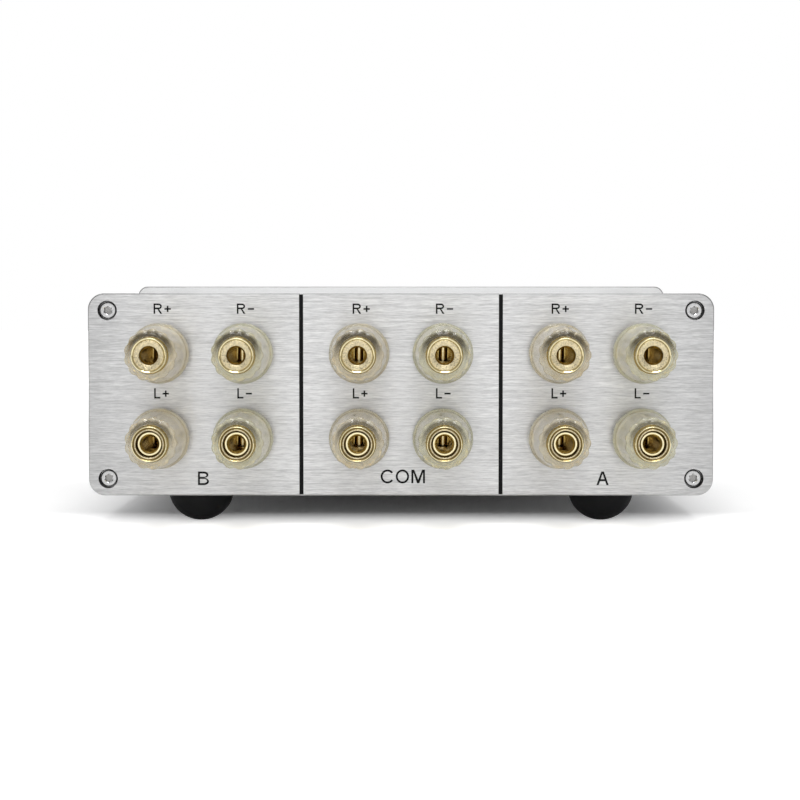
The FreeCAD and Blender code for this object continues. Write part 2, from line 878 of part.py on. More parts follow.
def make_ties():
    """Two long screws through the wafers, with a spacer tube before each wafer."""
    pieces = []
    reach = "2 * waferPitch + waferThick + tieNutHigh"
    end = f"{housingBack} - ({reach})"
    for side, spot in enumerate(tie_spots):
        shank = cylinder(f"tie_{side}_shank", "tieRadius", f"housingDeep + {reach}", end)
        nut = hexagon(f"tie_{side}_nut", "tieNut", "tieNutHigh", end)
        pieces.append(on_front(fused(f"tie_{side}", [shank, nut]), spot))
        for number in (1, 2):
            level = wafer_level(number)
            long = "waferPitch" if number == 1 else "(waferPitch - waferThick)"
            name = f"spacer_{side}_{number}"
            tube = cylinder(f"{name}_blank", "tieRadius + spacerWall", long, level)
            spacer = less(name, tube, cylinder(f"{name}_hole", "tieRadius + fitGap", long, level))
            pieces.append(on_front(spacer, spot))
    return gathered("switch_ties", pieces)


def make_shaft():
    """The spindle, with a flat where the dial's grub screw presses."""
    back = f"({wafer_level(2)} - waferThick - shaftTail)"
    body = turned(
        "switch_shaft",
        [("0", back), ("shaftRadius", back), ("shaftRadius", "shaftReach"), ("0", "shaftReach")],
    )
    flat = start_sketch(body, "shaft_flat", "XY_Plane", "bushingReach + seatGap")
    beyond = rectangle("2 * shaftRadius", "shaftRadius", up="shaftRadius * 1.5 - flatDeep")
    cut(body, polygon(flat, beyond), "shaftReach", up=True)
    return place(body, outFront * rest_turn, "0", frontFace, middleUp)


def make_rotors():
    """The two rotor discs that the shaft turns inside the wafers."""
    rotors = []
    for number in (1, 2):
        level = f"({wafer_level(number)} - waferThick / 2 - rotorThick / 2)"
        disc = cylinder(f"rotor_{number}_disc", "rotorRadius", "rotorThick", level)
        hole = cylinder(f"rotor_{number}_hole", "shaftRadius + fitGap", "rotorThick", level)
        rotors.append(on_front(less(f"rotor_{number}", disc, hole)))
    return gathered("switch_rotors", rotors)


# ---- dial ----

def make_knob():
    """A turned and fluted knob, hollow behind for the bushing nut, with a pointer line."""
    bore = "(shaftRadius + fitGap)"
    back = "knobGap"
    top = "(knobGap + knobLong)"
    floor = "(knobGap + hollowDeep)"
    bed = "(shaftReach + seatGap)"
    body = turned(
        "dial_knob",
        [
            ("hollowRadius", back),
            ("knobRadius", back),
            ("knobRadius", top),
            ("0", top),
            ("0", bed),
            (bore, bed),
            (bore, floor),
            ("hollowRadius", floor),
        ],
    )
    dress(body, "Fillet", rim("knobRadius", top), "knobRound")
    flute = start_sketch(body, "knob_flute", "XY_Plane", "knobGap + knobFoot")
    spot = ("0 - knobRadius + knobFluteDeep - knobFlute", "0")
    hollow = cut(body, circles(flute, [spot], "knobFlute"), "knobLong", up=True)
    repeat_round(body, hollow, "knobFlutes")
    line = start_sketch(body, "knob_pointer", "XY_Plane", top)
    cut(
        body,
        polygon(line, rectangle("pointerWide", "pointerLong", up="knobRadius - pointerLong / 2")),
        "pointerDeep",
    )
    thread = start_sketch(body, "knob_thread", "XZ_Plane")
    cut(body, circles(thread, [("0", "grubRise")], "grubRadius + fitGap"), "knobRadius")
    return place(body, outFront * rest_turn, "0", frontFace, middleUp)


def make_grub():
    """The dial's grub screw, from the shaft's flat outwards, with a key socket."""
    start = "(shaftRadius - flatDeep + fitGap)"
    blank = cylinder("grub_blank", "grubRadius", "grubLong", start)
    key = hexagon("grub_key", "grubKey", "grubLong / 2", f"{start} + grubLong / 2")
    grub = less("grub_screw", blank, key)
    grub.Label = "grub_screw"
    to_side = FreeCAD.Rotation(vector(1, 0, 0), -90)
    return place(grub, outFront * rest_turn * to_side, "0", f"{frontFace} + grubRise", middleUp)


def check(nodes):
    """Stop if any object failed, or any sub-part has no sound solid."""
    failed = [thing.Name for thing in doc.Objects if {"Invalid", "Error"} & set(thing.State)]
    failed += [node.Label for node in nodes if node.Shape.isNull() or not node.Shape.isValid()]
    for thing in doc.Objects:
        base = thing.BaseFeature if thing.TypeId == "PartDesign::Pocket" else None
        if base and thing.Shape.Volume > base.Shape.Volume - 0.01:
            failed.append(f"{thing.Name} cuts nothing")
    if failed:
        raise RuntimeError(f"failed: {failed}")


sheet = fill_sheet()
rest_turn = FreeCAD.Rotation(vector(0, 0, 1), amount("restAngle"))

nodes = [
    make_rear_plate(),
    make_front_plate(),
    *make_screws(),
    *make_case(),
    *make_feet(),
    *make_posts(),
    make_housing(),
    make_lock(),
    gathered("switch_wafers", [make_wafer(1), make_wafer(2)]),
    make_lugs(),
    make_ties(),
    make_shaft(),
    make_rotors(),
    make_wires(),
    make_knob(),
    make_grub(),
]
doc.recompute()
check(nodes)

os.makedirs("parts", exist_ok=True)
for node in nodes:
    node.Shape.exportStep(f"parts/{node.Label}.step")
print(len(nodes), "sub-parts")
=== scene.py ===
import json
import math

import bmesh
import bpy
import numpy as np
from mathutils import Matrix, Vector


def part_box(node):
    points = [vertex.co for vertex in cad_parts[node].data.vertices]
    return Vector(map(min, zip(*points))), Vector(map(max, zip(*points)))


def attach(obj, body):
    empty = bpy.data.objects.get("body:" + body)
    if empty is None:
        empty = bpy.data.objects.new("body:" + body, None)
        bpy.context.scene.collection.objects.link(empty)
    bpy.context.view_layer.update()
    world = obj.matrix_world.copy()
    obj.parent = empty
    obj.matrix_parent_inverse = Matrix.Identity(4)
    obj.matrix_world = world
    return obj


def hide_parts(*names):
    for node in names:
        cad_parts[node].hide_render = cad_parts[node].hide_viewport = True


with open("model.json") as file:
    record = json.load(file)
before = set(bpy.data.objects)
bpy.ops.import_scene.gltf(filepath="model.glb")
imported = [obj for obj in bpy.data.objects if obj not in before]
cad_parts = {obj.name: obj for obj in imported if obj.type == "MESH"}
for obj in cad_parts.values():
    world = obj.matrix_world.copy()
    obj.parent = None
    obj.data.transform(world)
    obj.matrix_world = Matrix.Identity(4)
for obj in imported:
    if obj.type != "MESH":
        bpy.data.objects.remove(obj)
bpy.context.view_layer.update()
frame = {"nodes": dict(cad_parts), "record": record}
scene = bpy.context.scene
nodes = frame["nodes"]
mm = 0.001
hair = 0.01                                            # slack in mm where two sizes are compared
print("frame loaded,", len(nodes), "nodes")

# Places read from the frame
plateLow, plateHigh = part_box("rear_plate")
rearFace = plateLow.y                                  # outer face of the terminal plate
middleUp = (plateLow.z + plateHigh.z) / 2
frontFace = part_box("front_plate")[1].y
groupNames = ("b", "com", "a")
poleNames = ("r_plus", "r_minus", "l_plus", "l_minus")
postNames = [f"{group}_{pole}" for group in groupNames for pole in poleNames]


def middleOf(node):
    low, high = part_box(node)
    return (low + high) / 2


postSpots = {post: middleOf(f"stud_{post}") for post in postNames}


# Materials: every pattern reads the piece's own Object coordinates, and on the caps also the
# frost and the painted dark reflection that their mesh carries.
noiseLow, noiseHigh = 0.3, 0.7                         # nearly all of a noise lies between these


def newMaterial(name):
    material = bpy.data.materials.new(name)
    material.use_nodes = True
    tree = material.node_tree
    return material, tree, tree.nodes["Principled BSDF"]


def objectNoise(tree, grains, detail=3.0, roughness=0.6):
    # noise with so many grains in a metre along each axis
    coords = tree.nodes.new("ShaderNodeTexCoord")
    mapping = tree.nodes.new("ShaderNodeMapping")
    mapping.inputs["Scale"].default_value = grains
    noise = tree.nodes.new("ShaderNodeTexNoise")
    noise.inputs["Scale"].default_value = 1.0
    noise.inputs["Detail"].default_value = detail
    noise.inputs["Roughness"].default_value = roughness
    tree.links.new(coords.outputs["Object"], mapping.inputs["Vector"])
    tree.links.new(mapping.outputs["Vector"], noise.inputs["Vector"])
    return noise.outputs["Fac"]


def mixed(tree, factor, first, second, kind="FLOAT", way="MIX"):
    # first and second mixed by a factor; each of the three is an output or a plain value
    node = tree.nodes.new("ShaderNodeMix")
    node.data_type = kind
    node.blend_type = way
    for name, given in (("Factor", factor), ("A", first), ("B", second)):
        if isinstance(given, bpy.types.NodeSocket):
            tree.links.new(given, node.inputs[name])
        else:
            node.inputs[name].default_value = given
    return node.outputs["Result"]


def tones(tree, source, stops):
    # a colour ramp between two (position, colour) stops
    node = tree.nodes.new("ShaderNodeValToRGB")
    for element, (position, colour) in zip(node.color_ramp.elements, stops):
        element.position = position
        element.color = (*colour, 1.0)
    tree.links.new(source, node.inputs["Fac"])
    return node.outputs["Color"]


def spread(tree, source, low, high, start=noiseLow, end=noiseHigh):
    # a number that runs from low to high as the source runs from start to end
    node = tree.nodes.new("ShaderNodeMapRange")
    node.inputs["From Min"].default_value = start
    node.inputs["From Max"].default_value = end
    node.inputs["To Min"].default_value = low
    node.inputs["To Max"].default_value = high
    tree.links.new(source, node.inputs["Value"])
    return node.outputs["Result"]


def combine(tree, operation, *sources):
    # one step of arithmetic on one or two numbers
    node = tree.nodes.new("ShaderNodeMath")
    node.operation = operation
    for socket, source in zip(node.inputs, sources):
        tree.links.new(source, socket)
    return node.outputs["Value"]


def axesOf(tree, kind):
    # a texture coordinate, and its X, Y and Z as outputs
    place = tree.nodes.new("ShaderNodeTexCoord").outputs[kind]
    parts = tree.nodes.new("ShaderNodeSeparateXYZ")
    tree.links.new(place, parts.inputs["Vector"])
    return place, parts.outputs


def greyOf(tree, level):
    node = tree.nodes.new("ShaderNodeCombineColor")
    for channel in ("Red", "Green", "Blue"):
        tree.links.new(level, node.inputs[channel])
    return node.outputs["Color"]


def roughen(tree, shader, source, middle, swing):
    # a roughness that strays from its middle by up to this share
    rough = spread(tree, source, middle * (1 - swing), middle * (1 + swing))
    tree.links.new(rough, shader.inputs["Roughness"])


def relief(tree, shader, source, strength, depth):
    node = tree.nodes.new("ShaderNodeBump")
    node.inputs["Strength"].default_value = strength
    node.inputs["Distance"].default_value = depth
    tree.links.new(source, node.inputs["Height"])
    tree.links.new(node.outputs["Normal"], shader.inputs["Normal"])


brushing = {
    "long": (48.0, 2300.0, 2300.0),                    # grains per metre: long in X, fine across it
    "short": (300.0, 4400.0, 4400.0), "shortShare": 0.64, "shortRough": 0.7,
    "grain": (0.36, 0.64),                             # noise at the darkest and the palest line
    "pull": 0.6, "pullAlong": (0.1, 0.05, 1.0), "relief": 0.5, "depth": 0.00001,
    "shade": 0.76, "shadeReach": (0.066, 0.088),       # painted shade toward the plate's two ends: how dark, and its reach in metres
}


def brushedMetal(name, dark, pale, roughness):
    # Long and short scratches along X; the pull draws reflections out across them. The plate's
    # two ends are a little darker than its middle, a painted shade for the dimmer light at its sides.
    material, tree, shader = newMaterial(name)
    long = objectNoise(tree, brushing["long"])
    short = objectNoise(tree, brushing["short"], roughness=brushing["shortRough"])
    both = mixed(tree, brushing["shortShare"], long, short)
    grain = spread(tree, both, dark, pale, *brushing["grain"])
    away = combine(tree, "ABSOLUTE", axesOf(tree, "Object")[1]["X"])
    # painted shade toward both ends of the plate
    ends = spread(tree, away, 1.0, brushing["shade"], *brushing["shadeReach"])
    colour = greyOf(tree, combine(tree, "MULTIPLY", grain, ends))
    tree.links.new(colour, shader.inputs["Base Color"])
    tree.links.new(spread(tree, both, *roughness), shader.inputs["Roughness"])
    shader.inputs["Metallic"].default_value = 1.0
    shader.inputs["Anisotropic"].default_value = brushing["pull"]
    across = tree.nodes.new("ShaderNodeCombineXYZ")
    for axis, amount in zip("XYZ", brushing["pullAlong"]):
        across.inputs[axis].default_value = amount
    tree.links.new(across.outputs["Vector"], shader.inputs["Tangent"])
    relief(tree, shader, both, brushing["relief"], brushing["depth"])
    return material


def platedMetal(
    name, colour, roughness, grain=900.0, fleck=0.86, swing=0.3, strength=0.3, depth=0.000004,
):
    # plated or blasted metal with a faint random unevenness, whose flecks are darker by a share
    material, tree, shader = newMaterial(name)
    soft = objectNoise(tree, (grain, grain, grain), detail=2.0)
    darker = tuple(channel * fleck for channel in colour)
    flecks = tones(tree, soft, [(noiseLow, darker), (noiseHigh, colour)])
    tree.links.new(flecks, shader.inputs["Base Color"])
    roughen(tree, shader, soft, roughness, swing)
    shader.inputs["Metallic"].default_value = 1.0
    relief(tree, shader, soft, strength, depth)
    return material


plastic = {
    "haze": 0.08, "hazeSwing": 0.4, "milk": 0.03, "body": 0.9, "frost": 0.8, "bends": 1.49,
    # the second colour on the next line paints a dark reflection on the caps' noses
    "flow": (240.0, 240.0, 240.0), "paintedDarkReflection": (0.10, 0.085, 0.06),
    "rings": (150.0, 1900.0, 150.0),                   # fine turning marks round the axis
    "ringRelief": 0.4, "ringDepth": 0.00005, "streak": 0.93, "streakSpan": (0.35, 0.55),
    "patches": (330.0, 110.0, 330.0),                  # uneven amber in the body
    "patchSpan": (0.36, 0.54), "patchRough": 0.7, "amber": (0.78, 0.68, 0.46),
}


def clearPlastic(name, tint):
    # A tinted refracting body with a little milk in it and fine marks round its axis. The share
    # that has no body lets light straight through, so that its shadow stays pale. Where the mesh
    # carries them, frost adds milk to the walls and a painted dark reflection darkens the arc above
    # the gold ring.
    material, tree, shader = newMaterial(name)
    flow = objectNoise(tree, plastic["flow"], detail=2.0)
    turning = objectNoise(tree, plastic["rings"], detail=2.0)
    uneven = objectNoise(tree, plastic["patches"], detail=4.0, roughness=plastic["patchRough"])
    carried = {}
    for layer in ("frost", "paintedDarkReflection"):
        node = tree.nodes.new("ShaderNodeAttribute")
        node.attribute_name = layer
        carried[layer] = node.outputs["Fac"]
    streak = tuple(channel * plastic["streak"] for channel in tint)
    amber = tuple(channel * share for channel, share in zip(tint, plastic["amber"]))
    white = (1.0, 1.0, 1.0)
    streaks = tones(tree, turning, list(zip(plastic["streakSpan"], (streak, tint))))
    patches = tones(tree, uneven, list(zip(plastic["patchSpan"], (amber, white))))
    patchy = mixed(tree, 1.0, streaks, patches, "RGBA", "MULTIPLY")
    walls = mixed(tree, carried["frost"], (*tint, 1.0), patchy, "RGBA")
    # painted dark reflection above the gold ring
    withPaintedReflection = mixed(tree, carried["paintedDarkReflection"], walls, (*plastic["paintedDarkReflection"], 1.0), "RGBA")
    tree.links.new(withPaintedReflection, shader.inputs["Base Color"])
    roughen(tree, shader, flow, plastic["haze"], plastic["hazeSwing"])
    shader.inputs["IOR"].default_value = plastic["bends"]
    clear = spread(tree, carried["frost"], 1.0 - plastic["milk"], 1.0 - plastic["frost"], 0.0, 1.0)
    tree.links.new(clear, shader.inputs["Transmission Weight"])
    shader.inputs["Alpha"].default_value = plastic["body"]
    relief(tree, shader, turning, plastic["ringRelief"], plastic["ringDepth"])
    return material


def mouldedPlastic(
    name, colour, roughness, grain=1800.0, shine=0.5, paler=1.35, swing=0.15, strength=0.25,
    depth=0.00002,
):
    # an even plastic with a fine grain, whose paler specks are this many times as bright
    material, tree, shader = newMaterial(name)
    soft = objectNoise(tree, (grain, grain, grain))
    pale = tuple(channel * paler for channel in colour)
    specks = tones(tree, soft, [(noiseLow, colour), (noiseHigh, pale)])
    tree.links.new(specks, shader.inputs["Base Color"])
    roughen(tree, shader, soft, roughness, swing)
    shader.inputs["Specular IOR Level"].default_value = shine
    relief(tree, shader, soft, strength, depth)
    return material


materials = {
    "brushed_plate": brushedMetal("brushedPlate", 0.53, 0.89, (0.30, 0.42)),
    # painted dark reflection on the plates' roundings
    "painted_dark_edge": brushedMetal("paintedDarkEdge", 0.26, 0.44, (0.30, 0.42)),
    # painted light: the front plate's back is the same aluminium made paler
    "painted_light_plate": brushedMetal("paintedLightPlate", 0.95, 1.0, (0.16, 0.22)),
    "case_metal": platedMetal("satinCase", (0.74, 0.745, 0.75), 0.38, grain=3000.0),
    "screw_steel": platedMetal("screwNickel", (0.80, 0.80, 0.81), 0.2),
    "screw_face": platedMetal("screwFace", (0.72, 0.72, 0.72), 0.3, grain=2600.0),
    # painted shade on the screws' socket floors
    "painted_socket_shade": platedMetal("paintedSocketShade", (0.40, 0.395, 0.385), 0.3),
    # deeper painted shade in the screws' sockets, on their heads' sides and round their holes
    "painted_recess_shade": platedMetal("paintedRecessShade", (0.26, 0.26, 0.26), 0.5),
    "clear_plastic": clearPlastic("clearBase", (0.99, 0.985, 0.97)),
    "clear_plus": clearPlastic("clearWarm", (0.995, 0.955, 0.84)),
    "clear_minus": clearPlastic("clearGreen", (0.975, 0.98, 0.85)),
    "black_plastic": mouldedPlastic("blackMoulding", (0.02, 0.02, 0.022), 0.5),
    "gold": platedMetal("goldPlate", (0.97, 0.86, 0.54), 0.14),
    # painted shade inside the studs' bores
    "gold_bore_painted_shade": platedMetal("goldBorePaintedShade", (0.50, 0.37, 0.13), 0.2),
    # painted shade on the rings' lips, mouths and grooves
    "gold_shade": platedMetal("goldShade", (0.30, 0.22, 0.08), 0.3),
    "gold_grain": platedMetal(
        "goldGrain", (0.95, 0.82, 0.53), 0.34, grain=2600.0, depth=0.00006, strength=1.0, fleck=0.5,
    ),
    "switch_steel": platedMetal("switchNickel", (0.66, 0.66, 0.66), 0.3),
    "wafer_board": mouldedPlastic("phenolicBoard", (0.33, 0.19, 0.09), 0.55),
    "lug_silver": platedMetal("silverLug", (0.85, 0.84, 0.80), 0.25),
    "knob_metal": platedMetal("knobMetal", (0.80, 0.80, 0.805), 0.24, grain=3000.0, strength=0.15),
    "foot_rubber": mouldedPlastic("footRubber", (0.006, 0.006, 0.0065), 0.6, shine=0.2),
    "wire_sleeve": mouldedPlastic("wireSleeve", (0.42, 0.03, 0.025), 0.4),
    "print": mouldedPlastic("blackPrint", (0.004, 0.004, 0.0045), 0.7, shine=0.15),
}

slotOf = {entry["node"]: entry["material_slot"] for entry in frame["record"]["subparts"]}
for name, thing in nodes.items():
    for slot in thing.material_slots:
        slot.material = materials[slotOf[name]]
print("finishes on the frame's pieces")


# Meshes

def gridMesh(name, points, wrapAcross=True, wrapAlong=True):
    # quads over a grid of points, rows along and columns across, joined at its ends where it wraps
    rows, columns = points.shape[:2]
    upper = rows if wrapAlong else rows - 1
    right = columns if wrapAcross else columns - 1
    row, column = np.meshgrid(np.arange(upper), np.arange(right), indexing="ij")
    nextRow = (row + 1) % rows
    nextColumn = (column + 1) % columns
    quads = np.stack(
        [row * columns + column, row * columns + nextColumn,
         nextRow * columns + nextColumn, nextRow * columns + column],
        axis=-1,
    ).reshape(-1, 4)
    mesh = bpy.data.meshes.new(name)
    mesh.from_pydata(points.reshape(-1, 3).tolist(), [], quads.tolist())
    mesh.update()
    return mesh


def mergedMesh(mesh, gap=1e-6):
    # the same mesh with its doubled points made one
    work = bmesh.new()
    work.from_mesh(mesh)
    bmesh.ops.remove_doubles(work, verts=work.verts, dist=gap)
    bmesh.ops.dissolve_degenerate(work, edges=work.edges, dist=gap / 10)
    work.to_mesh(mesh)
    work.free()
    return mesh


def smoothEdges(mesh, degrees=35):
    mesh.shade_smooth()
    mesh.set_sharp_from_angle(angle=math.radians(degrees))
    return mesh


def joinMeshes(name, meshes):
    joined = bpy.data.meshes.new(name)
    points, faces, offset = [], [], 0
    for mesh in meshes:
        points += [tuple(vertex.co) for vertex in mesh.vertices]
        faces += [tuple(index + offset for index in polygon.vertices) for polygon in mesh.polygons]
        offset += len(mesh.vertices)
    joined.from_pydata(points, [], faces)
    joined.update()
    return joined


def faceVectors(mesh, kind):
    # one row for each face: its "center" or its "normal"
    values = np.empty(len(mesh.polygons) * 3)
    mesh.polygons.foreach_get(kind, values)
    return values.reshape(-1, 3)


def setFinishes(mesh, choice):
    # which finish of its piece's list each face takes
    mesh.polygons.foreach_set("material_index", choice.astype(np.int32))


def showPiece(name, mesh, finish, body, stand=()):
    # put a mesh in the scene, ride it on its body and say which nodes it stands for
    piece = bpy.data.objects.new(name, mesh)
    scene.collection.objects.link(piece)
    mesh.materials.clear()
    for each in finish if isinstance(finish, list) else [finish]:
        mesh.materials.append(materials[each])
    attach(piece, body)
    if stand:
        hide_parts(*stand)
    return piece


def roundedLoop(corners, steps=5):
    # A closed outline from (radius, height, rounding) corners. Each corner becomes a curve
    # (1-s)^2 back + 2s(1-s) corner + s^2 ahead, between points one rounding before and after it.
    rim = np.array([corner[:2] for corner in corners], float)
    share = np.linspace(0, 1, steps)[:, None]
    parts = []
    for index, corner in enumerate(corners):
        here, before, after = rim[index], rim[index - 1], rim[(index + 1) % len(corners)]
        if corner[2] <= 0:
            parts.append(here[None, :])
            continue
        back = here + (before - here) / np.linalg.norm(before - here) * corner[2]
        ahead = here + (after - here) / np.linalg.norm(after - here) * corner[2]
        parts.append((1 - share) ** 2 * back + 2 * share * (1 - share) * here + share ** 2 * ahead)
    return np.vstack(parts)


def turnedMesh(name, outline, segments, centre, face, outward, shape=None):
    # Carry an outline of (radius, height off a plate's face) round an axis along Y:
    # x = radius cos a, y = face + outward height, z = radius sin a. shape(a, radius, height) may
    # change the radius first.
    angle = np.linspace(0, 2 * np.pi, segments, endpoint=False)[None, :]
    radius = np.repeat(outline[:, :1], segments, axis=1)
    height = np.repeat(outline[:, 1:], segments, axis=1)
    if shape:
        radius = shape(angle, radius, height)
    spin = -outward                                    # keeps the faces outwards on both plates
    grid = np.stack(
        [centre.x + radius * np.cos(angle) * mm * spin,
         face + outward * height * mm,
         centre.z + radius * np.sin(angle) * mm],
        axis=-1,
    )
    return gridMesh(name, grid)


def cornerNormals(mesh, degrees):
    # At each corner, the sum of area times normal over the faces that share its point and lean
    # less than the angle away, so that rounded edges shade smooth and flats stay flat.
    count = len(mesh.loops)
    pointOf = np.empty(count, np.int64)
    mesh.loops.foreach_get("vertex_index", pointOf)
    faces = len(mesh.polygons)
    faceNormal = faceVectors(mesh, "normal")
    faceArea = np.empty(faces)
    mesh.polygons.foreach_get("area", faceArea)
    sizes = np.empty(faces, np.int64)
    mesh.polygons.foreach_get("loop_total", sizes)
    faceOf = np.repeat(np.arange(faces), sizes)
    order = np.argsort(pointOf, kind="stable")
    shared = np.bincount(pointOf)
    start = np.cumsum(shared) - shared
    each = shared[pointOf[order]]
    first = np.repeat(np.arange(count), each)
    step = np.arange(len(first)) - np.repeat(np.cumsum(each) - each, each)
    second = np.repeat(start[pointOf[order]], each) + step
    here, there = order[first], faceOf[order[second]]
    alike = (faceNormal[faceOf[here]] * faceNormal[there]).sum(axis=1)
    close = alike > math.cos(math.radians(degrees))
    total = np.zeros((count, 3))
    np.add.at(total, here[close], faceNormal[there[close]] * faceArea[there[close], None])
    return total / np.linalg.norm(total, axis=1, keepdims=True)


def softCopy(node, name, body, finish=None, degrees=30, change=None):
    # a merged copy of a node with smooth rounded edges, which stands for it
    mesh = mergedMesh(nodes[node].data.copy(), gap=1e-7)
    mesh.name = name
    if change:
        change(mesh)
    mesh.shade_smooth()
    mesh.normals_split_custom_set(cornerNormals(mesh, degrees).tolist())
    return showPiece(name, mesh, finish or slotOf[node], body, [node])


def faceSpots(mesh, centre):
    # for each face, its distance from an axis along Y and its height off the terminal plate, in mm
    middles = faceVectors(mesh, "center")
    radius = np.hypot(middles[:, 0] - centre.x, middles[:, 2] - centre.z) / mm
    return radius, (rearFace - middles[:, 1]) / mm


plate = {
    "finishes": ["brushed_plate", "painted_dark_edge", "painted_light_plate", "painted_recess_shade"],
    "flat": 0.985, "wall": 0.03,                       # how much a flat or a wall faces along Y
    "upward": 0.03, "sideways": 0.1,                   # how much the top's rounding faces up and aside
    "screwAcross": 79.75, "screwUp": 22.9, "screwHole": 2.9,    # screws from the middle, in mm
    "backRound": 0.3, "backSteps": 3, "corner": 3.2, "edgeNear": 0.1, "flush": 0.001,     # in mm
    "level": 1.0, "bend": 57.3,                        # degrees within a flat, and at an edge
}


def roundBack(mesh):
    # A small rounding round the outline of the front plate's back. An edge belongs to the outline
    # where it lies in the back's flat, bends sharply, and is at a corner, the top or the bottom.
    work = bmesh.new()
    work.from_mesh(mesh)
    level, bend = math.radians(plate["level"]), math.radians(plate["bend"])
    bmesh.ops.dissolve_limit(work, angle_limit=level, verts=work.verts, edges=work.edges)
    low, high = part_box("front_plate")
    outline = []
    for edge in work.edges:
        spot = edge.verts[0].co
        inBack = all(abs(vertex.co.y - low.y) < plate["flush"] * mm for vertex in edge.verts)
        atCorner = abs(spot.x) > high.x - plate["corner"] * mm
        atEdge = min(high.z - spot.z, spot.z - low.z) < plate["edgeNear"] * mm
        if inBack and (atCorner or atEdge) and edge.is_manifold and edge.calc_face_angle() > bend:
            outline.append(edge)
    bmesh.ops.bevel(
        work, geom=outline, offset=plate["backRound"] * mm, segments=plate["backSteps"],
        profile=0.5, affect="EDGES",
    )
    work.to_mesh(mesh)
    work.free()


def fromScrews(middles):
    # how far points stand from the axis of the nearest of the four screws, in mm
    across, up = np.abs(middles[:, 0]) / mm, np.abs(middles[:, 2] - middleUp) / mm
    return np.hypot(across - plate["screwAcross"], up - plate["screwUp"])


def plateFinishes(piece, backHasPaintedLight):
    # Roundings between the flats take the second finish, a painted dark reflection, on the terminal
    # plate those along its top only. A back made paler by painted light takes the third, and the
    # screws' holes the fourth, a painted shade on their walls.
    tilts = faceVectors(piece.data, "normal")
    toward = np.abs(tilts[:, 1])
    rounded = (toward > plate["wall"]) & (toward < plate["flat"])
    if not backHasPaintedLight:
        # on the terminal plate the painted dark reflection lies on the top's roundings only
        rounded &= (tilts[:, 2] > plate["upward"]) & (np.abs(tilts[:, 0]) < plate["sideways"])
    # painted light on the front plate's back
    back = (tilts[:, 1] < -plate["flat"]) & backHasPaintedLight
    distance = fromScrews(faceVectors(piece.data, "center"))
    # painted shade on the walls round the screws' holes
    hole = (distance < plate["screwHole"]) & (toward < plate["flat"])
    setFinishes(piece.data, np.where(hole, 3, np.where(back, 2, rounded)))


# Plates, case and studs keep their modelled shape and get clean shading. Only the outline of the
# front plate's back is rounded besides.
plateFinishes(softCopy("rear_plate", "terminalPlate", "case", plate["finishes"]), False)
dialPlate = softCopy("front_plate", "dialPlate", "case", plate["finishes"], change=roundBack)
plateFinishes(dialPlate, True)
softCopy("case_bottom", "caseTray", "case")
softCopy("case_top", "caseLid", "case")
studBore = {"r": 3.2, "l": 2.45, "from": 5.0}          # mm; what lies inside takes the darker gold, a painted shade in the bore
for post in postNames:
    stud = softCopy(f"stud_{post}", f"goldStud_{post}", "case", ["gold", "gold_bore_painted_shade"])
    radius, height = faceSpots(stud.data, postSpots[post])
    inside = (radius < studBore[post.split("_")[1]]) & (height > studBore["from"])
    setFinishes(stud.data, inside)
print("plates, case and studs smoothed")


# Clear caps
cap = {
    "low": 3.6, "rimTop": 5.1, "shoulder": 23.2, "tip": 24.0,      # mm off the plate
    "bore": 3.85, "rim": 8.15, "foot": 7.7, "end": 6.9, "nose": 5.2,       # radii in mm
    "flutes": 13, "fluteDeep": 0.38, "fluteFrom": 10.0, "fluteFull": 17.0, "fluteSharp": 3,
    "plainNose": 0.5,                                  # mm round the nose's hole that no flute cuts
    "segments": 208, "rows": 24, "noseRows": (0.3, 0.45, 0.6, 0.75),
}


def fluteWave(angle):
    # |sin(n a / 2)|^3, which is 0 on the lobes and 1 in the flutes between them
    return np.abs(np.sin(angle * cap["flutes"] / 2)) ** cap["fluteSharp"]


def capShape(angle, radius, height):
    # The grip's flutes grow deeper toward the tip: the radius dips by deep * grown * wave.
    grown = np.clip((height - cap["fluteFrom"]) / (cap["fluteFull"] - cap["fluteFrom"]), 0, 1)
    outer = radius > cap["nose"] + cap["plainNose"]
    return radius - np.where(outer, cap["fluteDeep"] * grown * fluteWave(angle), 0)


def between(first, last, shares):
    # sharp corners on the straight line between two (radius, height) points
    return [
        (first[0] + (last[0] - first[0]) * share, first[1] + (last[1] - first[1]) * share, 0)
        for share in shares
    ]


def capOutline():
    lower, upper = (cap["foot"], cap["rimTop"]), (cap["end"], cap["shoulder"])
    taperRows = np.linspace(0, 1, cap["rows"])[1:-2]        # the last would stand in the rounding
    return roundedLoop([
        (cap["bore"], cap["low"], 0.15),
        (cap["rim"], cap["low"], 0.4),
        (cap["rim"], cap["rimTop"], 0.3),
        (*lower, 0.1),
        *between(lower, upper, taperRows),
        (*upper, 0.3),
        *between(upper, (cap["nose"], cap["tip"]), cap["noseRows"]),
        (cap["nose"], cap["tip"], 0.3),
        (cap["bore"], cap["tip"], 0.2),
    ])


# frost on the caps, and a painted dark reflection on their noses
capFrostAndPaintedReflection = {
    "wallFrost": 0.30, "noseFrost": 0.34, "wall": 6.0,      # frost outside this radius, in mm
    "noseFrom": 0.1,                                   # mm below the shoulder where the nose starts
    "from": 4.9, "full": 5.7, "over": 6.8,             # radii of the painted dark reflection, in mm
    "turn": 0.35, "sharp": 1.1, "steep": 2.4, "lobes": 0.18,
    "strong": {"r": 1.0, "l": 0.8}, "reach": {"r": 1.0, "l": 0.65},        # by row of posts
}


